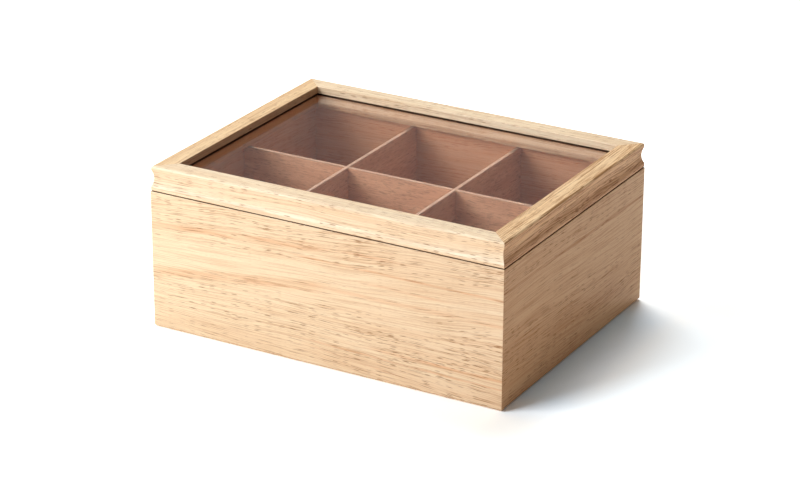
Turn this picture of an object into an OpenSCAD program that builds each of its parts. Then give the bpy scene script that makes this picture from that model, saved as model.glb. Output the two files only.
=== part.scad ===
// Wooden tea bag box: a mitred case with six compartments and a hinged lid
// that frames a clear window. Millimetres, +Z up. The case stands centred on
// the origin with its underside at Z = 0, its front towards -Y and its hinges
// towards +Y.

/* [Case] */
// Width of the case along its front
case_w = 280; // [220:1:360]
// Depth of the case from front to back
case_d = 217; // [170:1:280]
// Height of the case walls
case_h = 103.6; // [85:0.1:140]
// Thickness of the case walls
wall_t = 10; // [9:0.5:12]
// Radius of the rounded lower outer edge
foot_r = 2.5; // [1:0.5:4]
// Radius of the eased upright corners
corner_r = 0.8; // [0.3:0.1:2]
// Radius of the eased edges of the boards
ease_r = 0.5; // [0.2:0.1:0.8]

/* [Bottom] */
// Thickness of the bottom panel
panel_t = 4; // [3:0.5:6]
// Height of the panel's underside above the surface the case stands on
panel_z = 5; // [4:0.5:8]
// Depth of the groove in the walls that holds the panel
panel_let = 4; // [3:0.5:5]

/* [Dividers] */
// Thickness of the dividers
divider_t = 3; // [2.5:0.5:4]
// Distance of the dividers' top edge below the rim of the case
divider_drop = 0.6; // [0:0.1:5]
// Depth of the housings in the walls that take the divider ends
housing = 2; // [1:0.5:3]
// Side play of a divider in a housing or a slot
divider_play = 0.1; // [0.05:0.05:0.3]

/* [Lid] */
// Gap between the rim of the case and the closed lid
seam = 0.6; // [0.4:0.1:1.2]
// Height of the lid frame
rail_h = 18.1; // [16:0.1:24]
// Distance of the window opening from the outer face of the case
rail_w = 15.3; // [15:0.1:20]
// Inset of the lid's lower lip from the face of the case
lower_lip_in = 0.3; // [0:0.1:0.6]
// Inset of the lid's upper lip from the face of the case
upper_lip_in = 0.8; // [0.6:0.1:1.2]
// Inset of the cove at its deepest
cove_in = 2.2; // [1.6:0.1:2.6]
// Radius of the cove
cove_r = 12.5; // [11:0.5:14]
// Height of the deepest line of the cove above the underside of the lid
cove_z = 9.2; // [9:0.1:9.6]
// Radius of the rounded upper outer edge of the lid
crown_r = 1.5; // [0.5:0.1:2]

/* [Window] */
// Thickness of the window pane
pane_t = 2; // [1.5:0.1:2.5]
// Height of the pane's underside above the underside of the lid
pane_z = 9.8; // [8:0.1:11]
// Height of the groove that holds the pane
pane_groove_h = 3; // [2.8:0.1:3.5]
// Depth of the groove that holds the pane
pane_groove_d = 5; // [4:0.5:6]
// Depth to which the pane enters the groove
pane_let = 4; // [3:0.5:4]

/* [Hinges] */
// Distance of the middle of each hinge from the side of the case
hinge_side = 55; // [45:1:70]
// Length of a hinge
hinge_l = 32; // [28:1:40]
// Distance of the hinge pin behind the back face of the case
pin_out = 0.6; // [0.4:0.1:0.8]
// Radius of the hinge pin
pin_r = 0.9; // [0.8:0.05:1]
// Radius of a knuckle
knuckle_r = 1.9; // [1.8:0.05:2]
// Length of the middle knuckle, which belongs to the lid
middle_knuckle_l = 10.4; // [9:0.2:12]
// Distance of the outer face of a leaf above or below the pin
leaf_out = 2.8; // [2.6:0.1:3]
// Reach of a leaf from the pin towards the front
leaf_reach = 8.2; // [7.6:0.1:8.6]
// Angle at which the stop faces of the leaves meet
stop_deg = 96; // [92:1:110]

/* [Screws and bumpers] */
// Distance of each screw from the middle of its hinge
screw_x = 10.5; // [10:0.5:12]
// Distance of the screws from the pin
screw_in = 4.9; // [4.6:0.1:5.2]
// Length of a hinge screw
screw_l = 10; // [8:0.5:11]
// Radius of a screw's shank
shank_r = 1.2; // [1:0.1:1.3]
// Radius of a screw's head
head_r = 2.2; // [2:0.1:2.4]
// Radius of a bumper disc
bumper_r = 3; // [2:0.5:3]
// Distance of the bumper discs from the face of the front wall
bumper_in = 6; // [5:0.5:6]
// Distance of the bumper discs from the side of the case
bumper_side = 28; // [20:1:50]

/* [Hidden] */
$fn = 96;

// The four sides are numbered as they are turned about Z
FRONT = 0;
RIGHT = 1;
BACK = 2;
LEFT = 3;

lid_z = case_h + seam;
inner_w = case_w - 2 * wall_t;
inner_d = case_d - 2 * wall_t;
floor_z = panel_z + panel_t;
divider_h = case_h - divider_drop - floor_z;
cell_w = (inner_w - 2 * divider_t) / 3;
cross_x = (cell_w + divider_t) / 2;
slot_w = divider_t + 2 * divider_play;
end_play = 0.3;
panel_play = 0.1;

hinge_x = case_w / 2 - hinge_side;
pin_y = case_d / 2 + pin_out;
pin_z = case_h + seam / 2;
bore_play = 0.05;
bore_r = pin_r + bore_play;
leaf_in = seam / 2;
leaf_t = leaf_out - leaf_in;
knuckle_play = 0.2;
mortise_play = 0.1;
heel_slope = tan(90 - stop_deg / 2);
head_h = 1.1;
tip_h = 2.5;
tip_r = 0.2;
recess_l = 2.4;
recess_w = 0.5;
recess_d = 0.8;
pilot_play = 0.02;
shank_play = 0.1;
bumper_gap = 0.1;
bumper_t = seam - bumper_gap;
bumper_x = case_w / 2 - bumper_side;

cut = 1;

function side_l(side) = side % 2 == 0 ? case_w : case_d;
function side_off(side) = side % 2 == 0 ? case_d / 2 : case_w / 2;

rubberwood = "burlywood";
veneer = "rosybrown";
brass = "goldenrod";

// What is cut away to round a corner at the origin of a shape that fills +X +Y
module corner_waste(r) {
    difference() {
        translate([-cut, -cut]) square(r + cut);
        translate([r, r]) circle(r);
    }
}

// Puts a board that is drawn at its outer face, running along X, on its side of the box
module on_side(side) {
    rotate([0, 0, 90 * side]) translate([0, -side_off(side), 0]) children();
}

// A board of the given profile, mitred at both ends, with its outer corners eased.
// The profile's X runs inwards from the face of the case, its Y upwards.
module mitred_board(length, width, height, inset) {
    end = length / 2;
    difference() {
        intersection() {
            rotate([90, 0, 90]) linear_extrude(length, center = true) children();
            linear_extrude(height)
                polygon([[-end, 0], [end, 0], [end - width, width], [width - end, width]]);
        }
        for (m = [0, 1])
            mirror([m, 0, 0])
                translate([inset - end, inset, -cut]) linear_extrude(height + 2 * cut) corner_waste(corner_r);
    }
}

// Section of a case wall, with the groove for the bottom panel
module wall_profile() {
    difference() {
        square([wall_t, case_h]);
        corner_waste(foot_r);
        translate([0, case_h]) mirror([0, 1]) corner_waste(ease_r);
        translate([wall_t, case_h]) rotate(180) corner_waste(ease_r);
        translate([wall_t, 0]) mirror([1, 0]) corner_waste(ease_r);
        translate([wall_t - panel_let, panel_z]) square([panel_let + cut, panel_t + panel_play]);
    }
}

// A case wall with housings for divider ends at the given places along it
module case_wall(side, housings) {
    on_side(side)
        difference() {
            mitred_board(side_l(side), wall_t, case_h, 0) wall_profile();
            for (x = housings)
                translate([x - slot_w / 2, wall_t - housing, floor_z])
                    cube([slot_w, housing + cut, case_h]);
        }
}

// Section of a lid rail: rounded crown, upper lip, cove, lower lip and the pane's groove
module rail_profile() {
    difference() {
        translate([lower_lip_in, 0]) square([rail_w - lower_lip_in, rail_h]);
        translate([lower_lip_in - cut, cove_z]) square([upper_lip_in - lower_lip_in + cut, rail_h]);
        translate([cove_in - cove_r, cove_z]) circle(cove_r, $fn = 192);
        translate([upper_lip_in, rail_h]) mirror([0, 1]) corner_waste(crown_r);
        translate([lower_lip_in, 0]) corner_waste(ease_r);
        translate([rail_w, rail_h]) rotate(180) corner_waste(ease_r);
        translate([rail_w, 0]) mirror([1, 0]) corner_waste(ease_r);
        translate([rail_w - pane_groove_d, pane_z]) square([pane_groove_d + cut, pane_groove_h]);
    }
}

module lid_rail(side) {
    on_side(side)
        translate([0, 0, lid_z]) mitred_board(side_l(side), rail_w, rail_h, lower_lip_in) rail_profile();
}

// Calls its children at both hinges, with the pin along X through the origin
module at_hinges() {
    for (s = [-1, 1])
        at_hinge(s) children();
}

module at_hinge(s) {
    translate([s * hinge_x, pin_y, pin_z]) children();
}

// Room for one leaf below the pin
module leaf_mortise() {
    translate([-hinge_l / 2 - mortise_play, -leaf_reach - mortise_play, -leaf_out])
        cube([hinge_l + 2 * mortise_play, leaf_reach + leaf_out + cut, leaf_out + cut]);
}

// Places its children at the two screws of a leaf, head flush with the leaf's inner face
module at_screws() {
    for (s = [-1, 1])
        translate([s * screw_x, -screw_in, -leaf_in]) children();
}

// Body of a countersunk wood screw, head up, with its head's top at the origin
module screw_body(play) {
    translate([0, 0, -head_h]) cylinder(h = head_h, r1 = shank_r + play, r2 = head_r + play);
    translate([0, 0, tip_h - screw_l]) cylinder(h = screw_l - tip_h, r = shank_r + play);
    translate([0, 0, -screw_l]) cylinder(h = tip_h, r1 = tip_r, r2 = shank_r + play);
}

module screw() {
    difference() {
        screw_body(0);
        for (turn = [0, 90])
            rotate([0, 0, turn]) translate([-recess_l / 2, -recess_w / 2, -recess_d])
                cube([recess_l, recess_w, recess_d + cut]);
    }
}

// Hinge leaf below the pin. Its heel, behind the pin, is bevelled through the pin's
// axis, so that it meets the other leaf's heel when the lid is open.
module hinge_leaf(knuckles, others) {
    difference() {
        union() {
            rotate([90, 0, 90]) linear_extrude(hinge_l, center = true)
                polygon([
                    [-leaf_reach, -leaf_in], [-leaf_reach, -leaf_out],
                    [leaf_out * heel_slope, -leaf_out], [leaf_in * heel_slope, -leaf_in]
                ]);
            for (k = knuckles)
                translate([k[0], 0, 0]) rotate([0, 90, 0]) cylinder(h = k[1] - k[0], r = knuckle_r);
        }
        for (k = others)
            translate([k[0] - knuckle_play, 0, 0]) rotate([0, 90, 0])
                cylinder(h = k[1] - k[0] + 2 * knuckle_play, r = knuckle_r + knuckle_play);
        translate([-hinge_l / 2 - cut, 0, 0]) rotate([0, 90, 0]) cylinder(h = hinge_l + 2 * cut, r = bore_r);
        at_screws() screw_body(pilot_play);
        at_screws() translate([0, 0, -leaf_t]) cylinder(h = leaf_t, r = shank_r + shank_play);
    }
}

middle_knuckle = [[-middle_knuckle_l / 2, middle_knuckle_l / 2]];
end_knuckles = [
    for (s = [-1, 1])
        let (a = s * hinge_l / 2, b = s * (middle_knuckle_l / 2 + knuckle_play)) [min(a, b), max(a, b)]
];

module front_wall() {
    color(rubberwood) case_wall(FRONT, [-cross_x, cross_x]);
}

module right_wall() {
    color(rubberwood) case_wall(RIGHT, [0]);
}

module back_wall() {
    color(rubberwood)
        difference() {
            case_wall(BACK, [-cross_x, cross_x]);
            at_hinges() leaf_mortise();
            at_hinges() at_screws() screw_body(pilot_play);
        }
}

module left_wall() {
    color(rubberwood) case_wall(LEFT, [0]);
}

module bottom_panel() {
    let_in = panel_let - end_play;
    color("tan")
        translate([-inner_w / 2 - let_in, -inner_d / 2 - let_in, panel_z])
            cube([inner_w + 2 * let_in, inner_d + 2 * let_in, panel_t]);
}

// A divider that runs along X through the origin, its top edges eased
module slat(length) {
    rotate([90, 0, 90]) linear_extrude(length, center = true)
        difference() {
            translate([-divider_t / 2, 0]) square([divider_t, divider_h]);
            for (m = [0, 1])
                mirror([m, 0]) translate([-divider_t / 2, divider_h]) mirror([0, 1]) corner_waste(ease_r);
        }
}

// The dividers are halved together: slots from above in the long one, from below in the others
module long_divider() {
    color(veneer)
        translate([0, 0, floor_z])
            difference() {
                slat(inner_w + 2 * (housing - end_play));
                for (s = [-1, 1])
                    translate([s * cross_x - slot_w / 2, -divider_t, divider_h / 2])
                        cube([slot_w, 2 * divider_t, divider_h]);
            }
}

module cross_divider(s) {
    color(veneer)
        translate([s * cross_x, 0, floor_z])
            difference() {
                rotate([0, 0, 90]) slat(inner_d + 2 * (housing - end_play));
                translate([-divider_t, -slot_w / 2, -cut])
                    cube([2 * divider_t, slot_w, divider_h / 2 + divider_play + cut]);
            }
}

module left_cross_divider() {
    cross_divider(-1);
}

module right_cross_divider() {
    cross_divider(1);
}

module lid_front_rail() {
    color(rubberwood) lid_rail(FRONT);
}

module lid_right_rail() {
    color(rubberwood) lid_rail(RIGHT);
}

module lid_back_rail() {
    color(rubberwood)
        difference() {
            lid_rail(BACK);
            at_hinges() mirror([0, 0, 1]) leaf_mortise();
            at_hinges() mirror([0, 0, 1]) at_screws() screw_body(pilot_play);
        }
}

module lid_left_rail() {
    color(rubberwood) lid_rail(LEFT);
}

module window_pane() {
    pane_w = case_w - 2 * (rail_w - pane_let);
    pane_d = case_d - 2 * (rail_w - pane_let);
    color("lightcyan", 0.35)
        translate([-pane_w / 2, -pane_d / 2, lid_z + pane_z]) cube([pane_w, pane_d, pane_t]);
}

module hinge_case_leaf(s) {
    color(brass) at_hinge(s) hinge_leaf(end_knuckles, middle_knuckle);
}

module hinge_lid_leaf(s) {
    color(brass) at_hinge(s) mirror([0, 0, 1]) hinge_leaf(middle_knuckle, end_knuckles);
}

module hinge_pin(s) {
    color(brass) at_hinge(s) rotate([0, 90, 0]) cylinder(h = hinge_l, r = pin_r, center = true);
}

module hinge_case_screws(s) {
    color(brass) at_hinge(s) at_screws() screw();
}

module hinge_lid_screws(s) {
    color(brass) at_hinge(s) mirror([0, 0, 1]) at_screws() screw();
}

// Thin discs on the front rim that keep the seam even when the lid is shut
module rim_bumpers() {
    color("whitesmoke")
        for (s = [-1, 1])
            translate([s * bumper_x, bumper_in - case_d / 2, case_h]) cylinder(h = bumper_t, r = bumper_r);
}

front_wall();
right_wall();
back_wall();
left_wall();
bottom_panel();
long_divider();
left_cross_divider();
right_cross_divider();
lid_front_rail();
lid_right_rail();
lid_back_rail();
lid_left_rail();
window_pane();
hinge_case_leaf(-1);  // left_hinge_case_leaf
hinge_case_leaf(1);  // right_hinge_case_leaf
hinge_lid_leaf(-1);  // left_hinge_lid_leaf
hinge_lid_leaf(1);  // right_hinge_lid_leaf
hinge_pin(-1);  // left_hinge_pin
hinge_pin(1);  // right_hinge_pin
hinge_case_screws(-1);  // left_hinge_case_screws
hinge_case_screws(1);  // right_hinge_case_screws
hinge_lid_screws(-1);  // left_hinge_lid_screws
hinge_lid_screws(1);  // right_hinge_lid_screws
rim_bumpers();
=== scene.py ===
import math

import bmesh
import bpy
from mathutils import Matrix, Vector


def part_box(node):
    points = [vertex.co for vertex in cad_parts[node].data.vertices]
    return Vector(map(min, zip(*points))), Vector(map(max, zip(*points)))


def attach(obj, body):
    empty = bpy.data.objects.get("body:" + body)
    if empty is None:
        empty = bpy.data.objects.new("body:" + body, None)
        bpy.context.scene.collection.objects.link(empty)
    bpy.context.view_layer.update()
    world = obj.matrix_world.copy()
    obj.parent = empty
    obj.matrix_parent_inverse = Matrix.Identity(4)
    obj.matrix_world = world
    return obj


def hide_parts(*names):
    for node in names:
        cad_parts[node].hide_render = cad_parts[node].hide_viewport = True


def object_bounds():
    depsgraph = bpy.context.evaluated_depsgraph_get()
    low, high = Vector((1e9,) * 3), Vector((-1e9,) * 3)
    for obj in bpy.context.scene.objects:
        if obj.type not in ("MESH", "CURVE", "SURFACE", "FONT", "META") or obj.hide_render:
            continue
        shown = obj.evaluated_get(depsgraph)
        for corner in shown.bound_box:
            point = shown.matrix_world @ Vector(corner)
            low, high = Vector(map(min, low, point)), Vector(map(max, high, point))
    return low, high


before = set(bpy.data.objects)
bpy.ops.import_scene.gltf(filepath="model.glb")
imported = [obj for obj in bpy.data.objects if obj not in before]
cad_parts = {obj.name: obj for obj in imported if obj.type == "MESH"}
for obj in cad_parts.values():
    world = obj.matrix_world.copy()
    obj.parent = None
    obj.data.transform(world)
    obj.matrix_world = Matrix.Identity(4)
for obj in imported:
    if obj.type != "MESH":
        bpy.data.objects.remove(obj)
cad_low, cad_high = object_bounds()

# Front wall of the case. A board of rubberwood on its edge, mitred at both ends and
# glued to the side walls there. Its lower outer edge is rounded, its other edges are
# eased, and its inner face has the bottom panel's groove and two housings.
MM = 0.001
FRONT, RIGHT, BACK, LEFT = range(4)
wall_low, wall_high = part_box("front_wall")
panel_low, panel_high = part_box("bottom_panel")
cross_low, cross_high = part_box("right_cross_divider")
case_width = cad_high.x - cad_low.x
case_depth = -2 * wall_low.y
rim = wall_high.z
wall_thick = wall_high.y - wall_low.y
compartment_floor = panel_high.z
divider_place = (cross_low.x + cross_high.x) / 2
divider_thick = cross_high.x - cross_low.x
foot_round = 2.5 * MM
eased = 0.5 * MM
corner_round = 0.8 * MM
corner_facets = (11.25, 33.75)
joint_line = 0.1 * MM
play = 0.1 * MM
housing_deep = 2 * MM
groove_deep = 4 * MM
arc_steps = 5
touching = 1e-7
crease = math.radians(35)


def section(start, *steps):
    """A board's section, filled. It is walked round from a start point: a step of two
    numbers goes straight there, a step of three turns about a centre by some degrees."""
    bm = bmesh.new()
    tip = bm.verts.new((0, *start))
    for step in steps:
        if len(step) == 2:
            tip = bmesh.ops.extrude_vert_indiv(bm, verts=[tip])["verts"][0]
            tip.co = (0, *step)
        else:
            across, up, degrees = step
            turned = bmesh.ops.spin(bm, geom=[tip], cent=(0, across, up), axis=(1, 0, 0),
                                    angle=math.radians(degrees), steps=arc_steps)
            tip = turned["geom_last"][0]
    bmesh.ops.remove_doubles(bm, verts=bm.verts, dist=joint_line / 10)
    bmesh.ops.contextual_create(bm, geom=bm.edges[:])
    return bm


def run(bm, length):
    """Runs a section out along X to a straight board, with its middle at the origin."""
    bmesh.ops.translate(bm, vec=(-length / 2, 0, 0), verts=bm.verts)
    moved = bmesh.ops.extrude_face_region(bm, geom=bm.faces[:])["geom"]
    ends = [part for part in moved if isinstance(part, bmesh.types.BMVert)]
    bmesh.ops.translate(bm, vec=(length, 0, 0), verts=ends)
    bmesh.ops.recalc_face_normals(bm, faces=bm.faces)


def saw(bm, place, away):
    """Saws the board through at a place, and drops what lies on the away side."""
    sawn = bmesh.ops.bisect_plane(bm, geom=bm.verts[:] + bm.edges[:] + bm.faces[:], dist=touching,
                                  plane_co=place, plane_no=away, clear_outer=True)
    cut = [part for part in sawn["geom_cut"] if isinstance(part, bmesh.types.BMEdge)]
    return bmesh.ops.contextual_create(bm, geom=cut)["faces"]


def ease(bm, edges, by, segments=2):
    """Eases edges by a small round, or by a flat with one segment."""
    bmesh.ops.bevel(bm, geom=edges, offset=by, segments=segments, profile=0.5, affect="EDGES", material=-1)


def mitre(bm, length, inset):
    """Mitres both ends and rounds the outer corners, whose faces stand inset from the
    board's outer line. A hairline shows where the boards meet."""
    for end in (-1, 1):
        corner = Vector((end * length / 2, 0, 0))
        joint = saw(bm, corner, Vector((end, 1, 0)))
        centre = corner + Vector((-end, 1, 0)) * (inset + corner_round)
        ease(bm, joint[0].edges[:], joint_line, 1)
        for degrees in corner_facets:
            turn = math.radians(degrees)
            outwards = Vector((end * math.sin(turn), -math.cos(turn), 0))
            saw(bm, centre + outwards * corner_round, outwards)
    bmesh.ops.recalc_face_normals(bm, faces=bm.faces)


def side_length(side):
    """How long the boards on a side are."""
    return case_width if side in (FRONT, BACK) else case_depth


def face_out(side):
    """How far the outer face of a side is from the middle of the box."""
    return case_depth / 2 if side in (FRONT, BACK) else case_width / 2


def to_side(bm, side):
    """Moves a board drawn along X with its outer face at Y = 0 to its side of the box."""
    turn = Matrix.Rotation(side * math.pi / 2, 3, "Z")
    bmesh.ops.translate(bm, vec=(0, -face_out(side), 0), verts=bm.verts)
    bmesh.ops.rotate(bm, cent=(0, 0, 0), matrix=turn, verts=bm.verts)


def block(low, high):
    """A straight-sided block between two corners."""
    bm = bmesh.new()
    bmesh.ops.create_cube(bm, size=1)
    bmesh.ops.scale(bm, vec=[far - near for near, far in zip(low, high)], verts=bm.verts)
    bmesh.ops.translate(bm, vec=[(near + far) / 2 for near, far in zip(low, high)], verts=bm.verts)
    return bm


def make(name, bm, material):
    """Turns a finished shape into an object with its finish."""
    mesh = bpy.data.meshes.new(name)
    bm.to_mesh(mesh)
    bm.free()
    mesh.shade_smooth()
    mesh.set_sharp_from_angle(angle=crease)
    mesh.materials.append(material)
    piece = bpy.data.objects.new(name, mesh)
    bpy.context.scene.collection.objects.link(piece)
    return piece


def cut_out(piece, *cutters):
    """Cuts grooves, housings or recesses out of a piece, and keeps its edges crisp."""
    tools = [make("cutter", bm, piece.data.materials[0]) for bm in cutters]
    for tool in tools:
        cut = piece.modifiers.new("cut", "BOOLEAN")
        cut.operation, cut.solver, cut.object = "DIFFERENCE", "EXACT", tool
    bpy.context.view_layer.update()
    worked = piece.evaluated_get(bpy.context.evaluated_depsgraph_get())
    cut_mesh = bpy.data.meshes.new_from_object(worked)
    piece.modifiers.clear()
    piece.data = cut_mesh
    cut_mesh.set_sharp_from_angle(angle=crease)
    for tool in tools:
        bpy.data.objects.remove(tool)


def flatten_faces(piece):
    """Keeps flat faces flat in the light, so that only the eased edges look round."""
    piece.modifiers.new("flat faces", "WEIGHTED_NORMAL").keep_sharp = True


def swatch(red, green, blue):
    """A colour as a swatch shows it, for a shader."""
    levels = [part / 255 for part in (red, green, blue)]
    lights = [level / 12.92 if level <= 0.04045 else ((level + 0.055) / 1.055) ** 2.4 for level in levels]
    return (*lights, 1)


def feed(node, inputs):
    """Joins other nodes' outputs to a shader node's inputs, or sets them."""
    for name, value in inputs.items():
        if isinstance(value, bpy.types.NodeSocket):
            node.id_data.links.new(value, node.inputs[name])
        else:
            node.inputs[name].default_value = value


def joiner(tree):
    """Gives a function that adds a node to a shader and feeds it."""

    def join(kind, inputs, **settings):
        node = tree.nodes.new("ShaderNode" + kind)
        for name, value in settings.items():
            setattr(node, name, value)
        feed(node, inputs)
        return node.outputs[0]

    return join


def finish_named(name):
    """A new material, its joiner and its Principled shader."""
    material = bpy.data.materials.new(name)
    material.use_nodes = True
    tree = material.node_tree
    return material, joiner(tree), tree.nodes["Principled BSDF"]


def sums(join, operation, *values):
    """One step of arithmetic."""
    return join("Math", dict(enumerate(values)), operation=operation)


def between(join, value, low, high, at_low=0.0, at_high=1.0):
    """Turns values from low to high into values from at_low to at_high."""
    return join("MapRange", {"Value": value, "From Min": low, "From Max": high,
                             "To Min": at_low, "To Max": at_high})


def cloud(join, place, lengths, detail=0.0):
    """Soft random patches, so long in each direction."""
    drawn = join("VectorMath", {0: place, 1: [1 / length for length in lengths]}, operation="MULTIPLY")
    return join("TexNoise", {"Vector": drawn, "Scale": 1.0, "Detail": detail})


def mixed(join, share, one, other):
    """One colour, with a share of another."""
    return join("Mix", {0: share, 6: one, 7: other}, data_type="RGBA").node.outputs[2]


def graded(join, value, *stops):
    """A share that follows a value through stops, each of them a value and a share."""
    low, high = stops[0][0], stops[-1][0]
    ramp = join("ValToRGB", {"Fac": between(join, value, low, high)}).node
    marks = ramp.color_ramp.elements
    marks.remove(marks[-1])
    marks[0].position = 0
    marks[0].color = (*[stops[0][1]] * 3, 1)
    for at, share in stops[1:]:
        marks.new((at - low) / (high - low)).color = (share, share, share, 1)
    return ramp.outputs["Color"]


def grain_space(join, side):
    """Millimetres along a board, up it, and out of its outer face, from Object
    coordinates."""
    turn = Matrix.Rotation(-math.pi / 2, 3, "X") @ Matrix.Rotation(-side * math.pi / 2, 3, "Z")
    return join("Mapping", {"Vector": join("TexCoord", {}).node.outputs["Object"],
                            "Scale": (1 / MM,) * 3, "Rotation": turn.to_euler(),
                            "Location": (0, 0, -face_out(side) / MM)})


streak_fade = 12


def streak(join, along, height, broken, middle, climb, start, end, half, strong):
    """A thin reddish line of late growth. middle is its height in the middle of the face,
    climb its rise along the board, start and end where it fades in and out, half its
    width to one side, and strong how clearly it shows."""
    line = sums(join, "MULTIPLY_ADD", along, -climb, height)
    apart = sums(join, "ABSOLUTE", sums(join, "SUBTRACT", line, middle))
    share = between(join, apart, half / 3, half, strong, 0.0)
    begun = between(join, along, start - streak_fade, start + streak_fade)
    share = sums(join, "MULTIPLY", share, begun)
    going = between(join, along, end - streak_fade, end + streak_fade, 1.0, 0.0)
    share = sums(join, "MULTIPLY", share, going)
    return sums(join, "MULTIPLY", share, broken)


def pores(join, fibres, lengths, crowd):
    """Dark pores, scattered at random: more of them where it is crowded."""
    drawn = join("VectorMath", {0: fibres, 1: [1 / length for length in lengths]}, operation="MULTIPLY")
    scattered = join("TexVoronoi", {"Vector": drawn, "Scale": 1.0}).node.outputs
    chance = join("SeparateColor", {"Color": scattered["Color"]})
    there = between(join, sums(join, "SUBTRACT", crowd, chance), -0.1, 0.15)
    return sums(join, "MULTIPLY", there, between(join, scattered["Distance"], 0.2, 0.36, 1.0, 0.0))


second_slope_at = 60
half_width = case_width / 2 / MM


def growth_of(join, grain, parts, slice_at, slopes, lean):
    """Where a spot lies in the growth of the tree: its height on the board with a ripple,
    its height in the middle of the face once the grain's climb and lean are taken off,
    and its place along and across the fibres."""
    place = join("VectorMath", {0: grain, 1: (slice_at, 0, 0)}, operation="ADD")
    slope = between(join, parts[1], 0, second_slope_at, *slopes)
    sway = between(join, cloud(join, place, (140, 50, 50), 1.0), 0.3, 0.7, -1.8, 1.8)
    ripple = between(join, cloud(join, place, (30, 12, 12), 1.0), 0.3, 0.7, -0.3, 0.3)
    wavy = sums(join, "ADD", parts[1], ripple)
    up = sums(join, "MULTIPLY_ADD", parts[0], sums(join, "MULTIPLY", slope, -1), wavy)
    up = sums(join, "MULTIPLY_ADD", parts[2], lean, sums(join, "ADD", up, sway))
    fibres = join("CombineXYZ", {"X": join("SeparateXYZ", {"Vector": place}), "Y": up, "Z": parts[2]})
    return wavy, up, fibres


def raw_or_shade_zone(join, parts, colour, depth, low, high, share, tone):
    """A share of another tone on the wood from a depth inwards, between two heights: raw
    wood, or painted shade. It sets in over 0.2 mm of depth and 0.02 mm of height."""
    there = between(join, parts[2], 0.1 - depth, 0.3 - depth, share, 0.0)
    there = sums(join, "MULTIPLY", there, between(join, parts[1], low - 0.02, low))
    there = sums(join, "MULTIPLY", there, between(join, parts[1], high, high + 0.02, 1.0, 0.0))
    return mixed(join, there, colour, tone)


def rubberwood(name, side, slice_at, slopes, lean, bands, pored, raw_and_shade, streaks=(), lined=0.3,
               shades=(swatch(252, 237, 204), swatch(248, 225, 188)), faded=(0.0, 0.0),
               reddish=swatch(235, 197, 156)):
    """Rubberwood under satin lacquer, sawn from its own place in the tree. Its grain
    climbs along the board by one slope at the foot and another further up, and leans
    back from the face. bands and pored grade how reddish and how porous the growth is by
    its height in the middle of the face, lined is how strong the long lines are, and
    the list after pored gives zones of raw wood or of painted shade. faded is how pale
    the left and the right end are, with fewer pores where they are paler."""
    material, join, shader = finish_named(name)
    grain = grain_space(join, side)
    parts = join("SeparateXYZ", {"Vector": grain}).node.outputs
    wavy, up, fibres = growth_of(join, grain, parts, slice_at, slopes, lean)

    patches = between(join, cloud(join, fibres, (50, 6, 6), 1.0), 0.36, 0.6, 0.25, 1.0)
    fade = between(join, parts[0], -half_width, half_width, *faded)
    crowd = sums(join, "MULTIPLY", graded(join, up, *pored), patches)
    crowd = sums(join, "MULTIPLY", crowd, between(join, fade, 0, 1, 1.0, 0.5))
    band = sums(join, "MULTIPLY", graded(join, up, *bands),
                between(join, cloud(join, fibres, (70, 12, 12), 1.0), 0.3, 0.6, 0.55, 1.1))
    broken = between(join, cloud(join, fibres, (40, 3, 3), 1.0), 0.35, 0.6, 0.5, 1.0)
    for line in streaks:
        band = sums(join, "MAXIMUM", band, streak(join, parts[0], wavy, broken, *line))
    growth = between(join, cloud(join, fibres, (130, 5, 9), 2.0), 0.38, 0.66)
    lines = between(join, cloud(join, fibres, (60, 0.8, 1.1), 2.0), 0.48, 0.6)
    lines = sums(join, "MULTIPLY", lines, sums(join, "MULTIPLY_ADD", crowd, 0.3, lined))
    threads = between(join, cloud(join, fibres, (30, 0.7, 0.7), 1.0), 0.3, 0.7)
    short = pores(join, fibres, (9, 0.65, 0.65), crowd)
    crowded = sums(join, "MULTIPLY_ADD", crowd, 0.6, sums(join, "MULTIPLY", band, 1.6))
    long = pores(join, fibres, (24, 0.65, 0.65), crowded)
    dots = between(join, cloud(join, fibres, (4, 0.3, 0.3)), 0.62, 0.7)

    dark = mixed(join, band, swatch(142, 96, 44), swatch(146, 84, 44))
    colour = mixed(join, growth, *shades)
    colour = mixed(join, fade, colour, swatch(252, 240, 208))
    colour = mixed(join, band, colour, reddish)
    colour = mixed(join, lines, colour, swatch(190, 146, 98))
    colour = mixed(join, sums(join, "MULTIPLY", threads, 0.12), colour, swatch(200, 156, 112))
    colour = mixed(join, sums(join, "MULTIPLY", dots, 0.15), colour, swatch(160, 120, 80))
    colour = mixed(join, sums(join, "MULTIPLY", long, 0.7), colour, dark)
    colour = mixed(join, sums(join, "MULTIPLY", short, 0.85), colour, dark)
    # Zones of raw wood, and of painted shade inside the box, in the seam and in the groove.
    for spot in raw_and_shade:
        colour = raw_or_shade_zone(join, parts, colour, *spot)
    shallow = sums(join, "MULTIPLY", dots, 0.5)
    open_pores = sums(join, "MAXIMUM", short, sums(join, "MAXIMUM", long, shallow))
    height = sums(join, "MULTIPLY_ADD", threads, 0.2, sums(join, "MULTIPLY", open_pores, -1))
    feed(shader, {"Base Color": colour, "IOR": 1.5,
                  "Roughness": between(join, open_pores, 0, 1, 0.33, 0.55),
                  "Normal": join("Bump", {"Height": height, "Strength": 0.35, "Distance": 0.08 * MM})})
    return material


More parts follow.
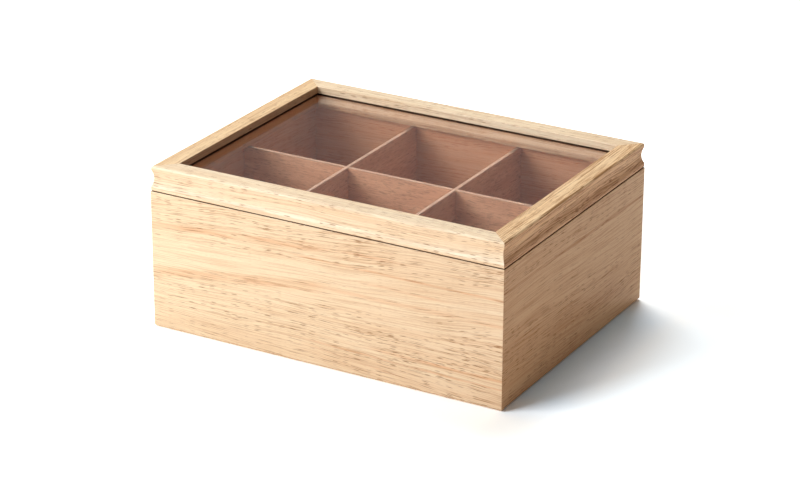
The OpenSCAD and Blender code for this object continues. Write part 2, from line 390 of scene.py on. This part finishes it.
def wall(name, side, material, housings, *recesses):
    """One wall of the case in its place, with a housing for each divider's end."""
    inner = wall_thick
    shape = section((0, foot_round), (0, rim - eased), (eased, rim - eased, -90), (inner - eased, rim),
                    (inner - eased, rim - eased, -90), (inner, panel_high.z + play),
                    (inner - groove_deep, panel_high.z + play), (inner - groove_deep, panel_low.z),
                    (inner, panel_low.z), (inner, eased), (inner - eased, eased, -90),
                    (foot_round, 0), (foot_round, foot_round, -90))
    run(shape, side_length(side))
    mitre(shape, side_length(side), 0)
    to_side(shape, side)
    piece = make(name, shape, material)
    cuts = list(recesses)
    for place in housings:
        half = divider_thick / 2 + play
        housing = block((place - half, wall_thick - housing_deep, compartment_floor),
                        (place + half, wall_thick + housing_deep, rim + housing_deep))
        to_side(housing, side)
        cuts.append(housing)
    cut_out(piece, *cuts)
    flatten_faces(piece)
    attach(piece, "case")
    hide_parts(name)


# The inner face is painted darker and redder as painted shade inside the box, and the
# rim has a painted shadow in a strip along its outer edge, where the lid's seam shades
# it, with raw wood behind the strip. The lists grade the growth by height, in millimetres.
inner_shade_tone = swatch(168, 92, 52)
seam_shade_tone = swatch(104, 68, 38)
raw_tone = swatch(212, 172, 128)
seam_shade_width = 2.2
skin = 0.03
top_face = rim / MM - skin
above_all = 200
wall_raw_and_shade = [(wall_thick / MM, 0, above_all, 0.7, inner_shade_tone),
             (eased / MM, top_face, above_all, 0.9, seam_shade_tone),
             (seam_shade_width, top_face, above_all, 0.8, raw_tone)]
front_bands = [(0, 0.2), (13, 0.2), (17, 0.05), (36, 0.05), (54, 0), (76, 0), (79, 0.1), (87, 0.1),
               (104, 0.15)]
front_pored = [(0, 0.45), (18, 0.5), (24, 1), (44, 0.7), (54, 0.1), (77, 0.05), (80, 0.6), (104, 0.7)]
front_streaks = [(89.4, 0.076, -150, 8, 3.6, 0.85), (90.2, 0.02, 10, 62, 1.6, 0.8),
                 (80.6, 0, -24, 150, 1.2, 1), (60, 0.115, -150, 4, 5, 0.7), (60.4, 0.012, -2, 150, 2.4, 0.5),
                 (71, 0, 36, 96, 1.4, 0.6), (24, -0.012, 44, 150, 1.6, 1),
                 (18.6, -0.02, -18, 150, 1.1, 0.8), (14, -0.1, -14, 70, 1.0, 0.6)]
front_shades = (swatch(245, 230, 201), swatch(238, 215, 182))
front_wood = rubberwood("front wall wood", FRONT, 0, (-0.06, 0.065), 0.5, front_bands, front_pored,
                        wall_raw_and_shade, front_streaks, shades=front_shades, faded=(0.85, 0.0))
wall("front_wall", FRONT, front_wood, (-divider_place, divider_place))

# Right wall of the case, cut, mitred and glued like the front wall. Its inner face has
# one housing, for the end of the long divider.
right_bands = [(0, 0.1), (14, 0.1), (20, 0.2), (40, 0.2), (52, 0.05), (84, 0.02), (85, 0.15), (104, 0.15)]
right_pored = [(0, 0.3), (15, 0.3), (24, 0.8), (38, 0.8), (60, 0.25), (80, 0.2), (86, 0.6), (104, 0.5)]
right_streaks = [(84.3, -0.015, -120, 110, 1.5, 1), (50, -0.02, -98, -40, 4, 0.35),
                 (31, -0.09, -120, 80, 12, 0.4)]
# The right wall's tones are darker as painted shade on the side away from the lamps, and paler towards the
# far end as painted light from the lit floor beyond its shadow.
right_shaded_tones = (swatch(226, 199, 160), swatch(218, 185, 143))
right_wood = rubberwood("right wall wood", RIGHT, 700, (-0.01, -0.025), 0.5, right_bands, right_pored,
                        wall_raw_and_shade, right_streaks, lined=0.55, shades=right_shaded_tones, faded=(0.0, 0.6),
                        reddish=swatch(200, 160, 118))
wall("right_wall", RIGHT, right_wood, (0,))

# Left wall of the case, cut and mitred like the right wall from another board, and
# glued to the front and the back wall. The long divider's other end is housed in it.
left_bands = [(0, 0.1), (20, 0.15), (34, 0.05), (36, 0.35), (46, 0.1), (70, 0.05), (72, 0.4), (84, 0.15),
              (104, 0.1)]
left_pored = [(0, 0.5), (30, 0.8), (60, 0.3), (74, 0.9), (104, 0.5)]
left_wood = rubberwood("left wall wood", LEFT, 1900, (0.02, 0.045), 0.5, left_bands, left_pored, wall_raw_and_shade)
wall("left_wall", LEFT, left_wood, (0,))

# Back wall of the case. It is made like the front wall, and its rim has two shallow
# recesses for the lower leaves of the hinges, with the screws' holes in their floors.
leaf_low, leaf_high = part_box("right_hinge_case_leaf")
hinge_place = (leaf_low.x + leaf_high.x) / 2
leaf_play = 0.1 * MM


def leaf_recess(place, low, high, bottom, top):
    """Room for a hinge leaf, open to the back."""
    half = (leaf_high.x - leaf_low.x) / 2 + leaf_play
    return block((place - half, low.y - leaf_play, bottom), (place + half, high.y + groove_deep, top))


back_bands = [(0, 0.1), (24, 0.05), (26, 0.3), (38, 0.1), (56, 0.05), (58, 0.25), (72, 0.1), (92, 0.3),
              (104, 0.1)]
back_pored = [(0, 0.7), (26, 1), (50, 0.3), (60, 0.8), (80, 0.2), (94, 0.8), (104, 0.8)]
back_wood = rubberwood("back wall wood", BACK, 2900, (-0.02, -0.05), 0.5, back_bands, back_pored, wall_raw_and_shade)
wall("back_wall", BACK, back_wood, (-divider_place, divider_place),
     *[leaf_recess(place, leaf_low, leaf_high, leaf_low.z, rim + groove_deep)
       for place in (-hinge_place, hinge_place)])

# Bottom panel, a thin veneered board that slides in the walls' grooves before the
# last mitre is glued. It carries no finish but the veneer's own sheen.


def veneer(name, along, colour, shade, slice_at, top=None):
    """Thin reddish veneer, close grained and matt. along turns its grain. With a height
    for top, the board's edge up there is greyer."""
    material, join, shader = finish_named(name)
    place = join("Mapping", {"Vector": join("TexCoord", {}).node.outputs["Object"],
                             "Scale": (1 / MM,) * 3, "Rotation": (0, 0, along),
                             "Location": (slice_at, 0, 0)})
    figure = between(join, cloud(join, place, (60, 6, 6), 2.0), 0.3, 0.7)
    fibre = between(join, cloud(join, place, (12, 0.6, 0.6), 1.0), 0.3, 0.7, 0.0, 0.3)
    pore = between(join, cloud(join, place, (4, 0.6, 0.6)), 0.62, 0.72, 0.0, 0.4)
    tone = mixed(join, figure, colour, shade)
    tone = mixed(join, fibre, tone, swatch(150, 96, 70))
    tone = mixed(join, pore, tone, swatch(96, 60, 44))
    if top:
        high = join("SeparateXYZ", {"Vector": place}).node.outputs[2]
        at_edge = between(join, high, top - 0.5, top - 0.3, 0.0, 0.7)
        tone = mixed(join, at_edge, tone, swatch(150, 118, 96))
    feed(shader, {"Base Color": tone, "Roughness": between(join, fibre, 0, 0.3, 0.55, 0.7),
                  "Normal": join("Bump", {"Height": pore, "Strength": 0.2, "Distance": -0.05 * MM})})
    return material


panel_eased = 0.3 * MM
panel = block(panel_low, panel_high)
ease(panel, panel.edges[:], panel_eased)
panel_finish = veneer("panel veneer", 0, swatch(190, 138, 108), swatch(172, 120, 92), 4000)
bottom_panel = make("bottom_panel", panel, panel_finish)
flatten_faces(bottom_panel)
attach(bottom_panel, "case")
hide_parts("bottom_panel")

# Dividers. Three thin reddish boards that are halved into each other and stand in the
# walls' housings: one long one from side to side, and two across it.
divider_top = cross_high.z
halving = divider_thick / 2 + play
slot_floor = (compartment_floor + divider_top) / 2


def divider(name, slots_from_above, material):
    """A divider with its top edges eased and its halving slots cut."""
    low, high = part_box(name)
    board = block(low, high)
    tops = [edge for edge in board.edges if min(tip.co.z for tip in edge.verts) > divider_top - play]
    ease(board, tops, eased)
    piece = make(name, board, material)
    if slots_from_above:
        slots = [block((place - halving, -divider_thick, slot_floor),
                       (place + halving, divider_thick, divider_top + groove_deep))
                 for place in (-divider_place, divider_place)]
    else:
        middle = (low.x + high.x) / 2
        slots = [block((middle - divider_thick, -halving, low.z - groove_deep),
                       (middle + divider_thick, halving, slot_floor + play))]
    cut_out(piece, *slots)
    flatten_faces(piece)
    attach(piece, "case")
    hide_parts(name)


long_finish = veneer("long divider veneer", 0, swatch(219, 170, 134), swatch(204, 152, 118), 5000,
                     divider_top / MM)
divider("long_divider", True, long_finish)
for name, slice_at in (("left_cross_divider", 6000), ("right_cross_divider", 7000)):
    cross_finish = veneer(name + "_veneer", -math.pi / 2, swatch(219, 168, 135), swatch(204, 151, 120),
                          slice_at, divider_top / MM)
    divider(name, False, cross_finish)

# Rim bumpers. Two clear soft discs, stuck on the front rim, that keep the seam under
# the shut lid even and quieten it.
rubber, join, shader = finish_named("bumper rubber")
speck = join("TexNoise", {"Vector": join("TexCoord", {}).node.outputs["Object"],
                          "Scale": 2 / MM, "Detail": 2.0})
feed(shader, {"Base Color": swatch(236, 236, 232), "IOR": 1.48,
              "Subsurface Weight": 0.4, "Subsurface Scale": MM,
              "Roughness": between(join, speck, 0.3, 0.7, 0.25, 0.45)})
bumper_low, bumper_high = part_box("rim_bumpers")
bumper_middle = (bumper_low + bumper_high) / 2
bumper_radius = (bumper_high.y - bumper_low.y) / 2
bumper_round = 0.3 * MM
bumpers = bmesh.new()
for end in (bumper_low.x + bumper_radius, bumper_high.x - bumper_radius):
    disc = bmesh.ops.create_cone(bumpers, cap_ends=True, segments=48, radius1=bumper_radius,
                                 radius2=bumper_radius, depth=bumper_high.z - bumper_low.z)["verts"]
    bmesh.ops.translate(bumpers, vec=(end, bumper_middle.y, bumper_middle.z), verts=disc)
crowns = [edge for edge in bumpers.edges if min(tip.co.z for tip in edge.verts) > bumper_middle.z]
ease(bumpers, crowns, bumper_round, 3)
rim_bumpers = make("rim_bumpers", bumpers, rubber)
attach(rim_bumpers, "case")
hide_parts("rim_bumpers")

# Lid rails. Four lengths of one rubberwood moulding, mitred and glued to a frame: a
# rounded crown, an upper lip, a shallow cove and a lower lip, with a groove inside
# for the pane.
rail_low, rail_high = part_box("lid_front_rail")
pane_low, pane_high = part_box("window_pane")
lid_under = rail_low.z
rail_tall = rail_high.z - rail_low.z
rail_wide = rail_high.y + case_depth / 2
lower_lip = rail_low.y + case_depth / 2
upper_lip = 0.8 * MM
crown_round = 1.5 * MM
cove_deep = 2.2 * MM
cove_round = 12.5 * MM
cove_middle = 9.2 * MM
pane_groove_low = pane_low.z - lid_under
pane_groove_tall = 3 * MM
pane_groove_deep = 5 * MM


def rail_section():
    """The moulding's section, with its outer line at 0 and its underside at 0."""
    centre = cove_deep - cove_round
    low_reach = math.sqrt(cove_round ** 2 - (lower_lip - centre) ** 2)
    high_reach = math.sqrt(cove_round ** 2 - (upper_lip - centre) ** 2)
    low_turn = math.degrees(math.asin(low_reach / cove_round))
    high_turn = math.degrees(math.asin(high_reach / cove_round))
    groove_high = pane_groove_low + pane_groove_tall
    groove_back = rail_wide - pane_groove_deep
    return section((lower_lip, eased), (lower_lip, cove_middle - low_reach),
                   (centre, cove_middle, low_turn), (centre, cove_middle, high_turn),
                   (upper_lip, rail_tall - crown_round),
                   (upper_lip + crown_round, rail_tall - crown_round, -90),
                   (rail_wide - eased, rail_tall), (rail_wide - eased, rail_tall - eased, -90),
                   (rail_wide, groove_high), (groove_back, groove_high), (groove_back, pane_groove_low),
                   (rail_wide, pane_groove_low), (rail_wide, eased), (rail_wide - eased, eased, -90),
                   (lower_lip + eased, 0), (lower_lip + eased, eased, -90))


def rail(name, side, material, *recesses):
    """One rail of the lid in its place, with the hinges' recesses if it has any."""
    shape = rail_section()
    run(shape, side_length(side))
    mitre(shape, side_length(side), lower_lip)
    bmesh.ops.translate(shape, vec=(0, 0, lid_under), verts=shape.verts)
    to_side(shape, side)
    piece = make(name, shape, material)
    if recesses:
        cut_out(piece, *recesses)
    flatten_faces(piece)
    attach(piece, "lid")
    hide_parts(name)


lid_leaf_low, lid_leaf_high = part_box("right_hinge_lid_leaf")
# Reddish growth by height for the rails, thinned to none at the lower lip, which stays paler as a painted
# sheen.
rail_bands_and_sheen = [(90, 0.2), (99, 0.1), (100, 0.35), (103, 0.1), (108, 0), (111, 0.1), (113, 0.05), (124, 0.1)]
rail_pored = [(90, 0.4), (100, 0.6), (106, 0.4), (124, 0.5)]
groove_foot = (lid_under + pane_groove_low) / MM
groove_top = groove_foot + pane_groove_tall / MM
groove_floor = (rail_wide - pane_groove_deep) / MM
groove_shade_tone = swatch(56, 32, 22)
rail_inner_shade_tone = swatch(149, 94, 56)
under_face = lid_under / MM + skin
pale_shades = (swatch(254, 241, 213), swatch(249, 230, 197))
warm_shades = (swatch(248, 222, 180), swatch(238, 206, 162))
deep_shades = (swatch(255, 229, 185), swatch(250, 218, 171))


def rail_wood(name, side, slice_at, slope, shades, lined, inner, shade_below_pane=0.82, bands=rail_bands_and_sheen):
    """Wood for one rail, with long straight lines. inner, and the share after it, are how much
    painted shade darkens the inner face above the pane and below it. The groove is painted
    dark as painted shade, and the underside has the rim's painted seam shadow, with raw wood behind it."""
    # Painted shade on the inner face and in the groove, the seam's painted shadow under the lid, and raw
    # wood behind it.
    raw_and_shade = [(groove_floor, 0, groove_top, shade_below_pane, rail_inner_shade_tone),
            (rail_wide / MM, groove_top, above_all, inner, rail_inner_shade_tone),
            (groove_floor, groove_foot, groove_top, 0.9, groove_shade_tone),
            ((lower_lip + eased) / MM, 0, under_face, 0.9, seam_shade_tone),
            (seam_shade_width, 0, under_face, 0.8, raw_tone)]
    return rubberwood(name, side, slice_at, (slope, slope), 0.8, bands, rail_pored, raw_and_shade,
                      lined=lined, shades=shades)


# After the lines' strength come the shares of painted shade on the inner face above the pane and below it.
front_rail_wood = rail_wood("front rail wood", FRONT, 8300, 0.01, pale_shades, 0.22, 0.2)
rail("lid_front_rail", FRONT, front_rail_wood)
# On the right rail a strong band at the lower cove is painted shade, on the side away from the lamps.
right_rail_bands_and_shade = [(90, 0.2), (102.5, 0.1), (104, 0.9), (108.5, 0.9), (111, 0.2), (124, 0.1)]
right_rail_wood = rail_wood("right rail wood", RIGHT, 9100, -0.005, deep_shades, 1.1, 0.2,
                            bands=right_rail_bands_and_shade)
rail("lid_right_rail", RIGHT, right_rail_wood)
left_rail_wood = rail_wood("left rail wood", LEFT, 9900, 0.02, warm_shades, 0.4, 0.5)
rail("lid_left_rail", LEFT, left_rail_wood)
back_rail_wood = rail_wood("back rail wood", BACK, 10700, -0.01, pale_shades, 0.35, 0.2, 0.66)
rail("lid_back_rail", BACK, back_rail_wood,
     *[leaf_recess(place, lid_leaf_low, lid_leaf_high, lid_under - groove_deep, lid_leaf_high.z)
       for place in (-hinge_place, hinge_place)])

# Window. A clear pane with ground edges, let into the groove of the four rails before
# the lid's last mitre is glued. It lets the lamps' light through almost whole.
glass, join, shader = finish_named("window glass")
feed(shader, {"Base Color": (1, 1, 1, 1), "Roughness": 0.0, "IOR": 1.49, "Transmission Weight": 1.0})
clear = join("BsdfTransparent", {"Color": (0.93, 0.94, 0.93, 1)})
lamp_ray = join("LightPath", {}).node.outputs["Is Shadow Ray"]
lit_through = join("MixShader", {0: lamp_ray, 1: shader.outputs[0], 2: clear})
feed(glass.node_tree.nodes["Material Output"], {"Surface": lit_through})
ground_edge = 0.2 * MM
pane = block(pane_low, pane_high)
ease(pane, pane.edges[:], ground_edge, 1)
window = make("window_pane", pane, glass)
flatten_faces(window)
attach(window, "lid")
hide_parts("window_pane")

# Hinges. Two small solid brass butt hinges with their leaves let in flush, their pins
# and their countersunk screws. The heels of the leaves meet past upright and stop
# the lid there.


def brass(name, tone, dull, rubbed):
    """Satin brass, rubbed in one direction and a little darker in patches."""
    material, join, shader = finish_named(name)
    place = join("TexCoord", {}).node.outputs["Object"]
    rub = join("VectorMath", {0: place, 1: rubbed}, operation="MULTIPLY")
    scratches = join("TexNoise", {"Vector": rub, "Scale": 1 / MM, "Detail": 3.0})
    patches = join("TexNoise", {"Vector": place, "Scale": 0.25 / MM, "Detail": 2.0})
    feed(shader, {"Base Color": mixed(join, patches, tone, dull), "Metallic": 1.0,
                  "Roughness": between(join, scratches, 0.3, 0.7, 0.24, 0.42),
                  "Normal": join("Bump", {"Height": scratches, "Strength": 0.15, "Distance": 0.02 * MM})})
    return material


leaf_brass = brass("hinge brass", swatch(224, 190, 118), swatch(196, 156, 86), (0.4, 6, 6))
pin_brass = brass("pin brass", swatch(218, 184, 116), swatch(186, 150, 84), (8, 1, 1))
screw_brass = brass("screw brass", swatch(226, 194, 126), swatch(190, 152, 88), (3, 3, 1))
metals = {"leaf": leaf_brass, "pin": pin_brass, "screws": screw_brass}
for node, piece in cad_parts.items():
    if "_hinge_" in node:
        piece.data.materials.clear()
        piece.data.materials.append(metals[node.split("_")[-1]])

# Floor. A plain pale table top that keeps the box's soft shadow and is white where
# nothing shades it. To the camera it is brighter than to the box, and cooler beside
# the right wall, where the wood throws its warm light on it.


def in_view(join):
    """1 on what the camera sees directly or through the window, and 0 on what only
    lights the box or is mirrored."""
    paths = join("LightPath", {}).node.outputs
    bounces = sums(join, "ADD", paths["Diffuse Depth"], paths["Glossy Depth"])
    through = sums(join, "MULTIPLY", paths["Is Transmission Ray"], sums(join, "LESS_THAN", bounces, 0.5))
    return sums(join, "MAXIMUM", paths["Is Camera Ray"], through)


warm_reach = 40 * MM
warm_ends = (75 * MM, 115 * MM)
plain_from = (0.6, 1.2)
floor_half = 6
floor_finish, join, shader = finish_named("pale floor")
bright = join("BsdfDiffuse", {"Color": (0.82, 0.93, 1.0, 1), "Roughness": 0.0})
spot = join("TexCoord", {}).node.outputs["Object"]
spot_parts = join("SeparateXYZ", {"Vector": spot}).node.outputs
aside = sums(join, "ABSOLUTE", sums(join, "SUBTRACT", spot_parts[0], case_width / 2))
along = sums(join, "ABSOLUTE", spot_parts[1])
cooled = mixed(join, between(join, aside, 0, warm_reach), (0.2, 0.56, 1.0, 1), (0.57, 0.67, 0.77, 1))
cooled = mixed(join, between(join, along, *warm_ends), cooled, (0.69, 0.67, 0.64, 1))
brighter = join("BsdfDiffuse", {"Color": cooled, "Roughness": 0.0})
shaded = join("AddShader", {0: bright, 1: brighter})
away = join("VectorMath", {0: spot}, operation="LENGTH").node.outputs["Value"]
plain = join("Emission", {"Color": (1, 1, 1, 1), "Strength": 1.0})
shown = join("MixShader", {0: between(join, away, *plain_from), 1: shaded, 2: plain})
dull = join("BsdfDiffuse", {"Color": (1.0, 0.83, 0.73, 1), "Roughness": 0.0})
table_top = join("MixShader", {0: in_view(join), 1: dull, 2: shown})
feed(floor_finish.node_tree.nodes["Material Output"], {"Surface": table_top})
ground = bmesh.new()
bmesh.ops.create_grid(ground, x_segments=1, y_segments=1, size=floor_half)
floor = make("floor", ground, floor_finish)

# Lamps and background. A large soft lamp stands high behind the box on its left, and a
# broad one lower in front on its left, with a dim warm fill all round. The background
# is white to the camera and through the glass.
world = bpy.data.worlds.new("studio")
bpy.context.scene.world = world
world.use_nodes = True
join = joiner(world.node_tree)
paths = join("LightPath", {}).node.outputs
white = join("Background", {"Color": (1, 1, 1, 1), "Strength": 1.0})
fill = join("Background", {"Color": (1, 0.8, 0.66, 1), "Strength": 0.165})
mirrored = join("Background", {"Color": (1, 1, 1, 1), "Strength": 0.2})
glossy = sums(join, "GREATER_THAN", paths["Glossy Depth"], 0.5)
unseen = join("MixShader", {0: glossy, 1: fill, 2: mirrored})
background = join("MixShader", {0: in_view(join), 1: unseen, 2: white})
feed(world.node_tree.nodes["World Output"], {"Surface": background})


def soft_lamp(name, turned, raised, far, wide, tall, power, colour):
    """An oblong soft lamp that faces the box, turned so far from the front towards the
    left and raised so far above the floor, in degrees."""
    data = bpy.data.lights.new(name, "AREA")
    data.shape, data.size, data.size_y = "RECTANGLE", wide, tall
    data.energy, data.color = power, colour
    lamp = bpy.data.objects.new(name, data)
    bpy.context.scene.collection.objects.link(lamp)
    lamp.matrix_world = (Matrix.Translation((0, 0, rim / 2)) @ Matrix.Rotation(math.radians(-turned), 4, "Z")
                         @ Matrix.Rotation(math.radians(90 - raised), 4, "X")
                         @ Matrix.Translation((0, 0, far)))


soft_lamp("back lamp", 148, 62, 2.0, 1.0, 0.9, 27.5, (1, 0.96, 0.92))
soft_lamp("front lamp", 38, 29, 2.0, 1.2, 0.9, 33.5, (1, 1, 1))

# Camera, at the place the photograph was taken from: to the right of the box's front
# and above it, with a long lens.
camera_place = (0.9189, -1.6253, 0.8332)
camera_turned, camera_tipped, camera_rolled = 29.485, 22.823, 0.267
camera_data = bpy.data.cameras.new("camera")
camera_data.lens, camera_data.sensor_width = 127.31, 36
camera = bpy.data.objects.new("camera", camera_data)
bpy.context.scene.collection.objects.link(camera)
camera.matrix_world = (Matrix.Translation(camera_place)
                       @ Matrix.Rotation(math.radians(camera_turned), 4, "Z")
                       @ Matrix.Rotation(math.radians(90 - camera_tipped), 4, "X")
                       @ Matrix.Rotation(math.radians(camera_rolled), 4, "Z"))
bpy.context.scene.camera = camera
bpy.context.scene.view_settings.view_transform = "Standard"
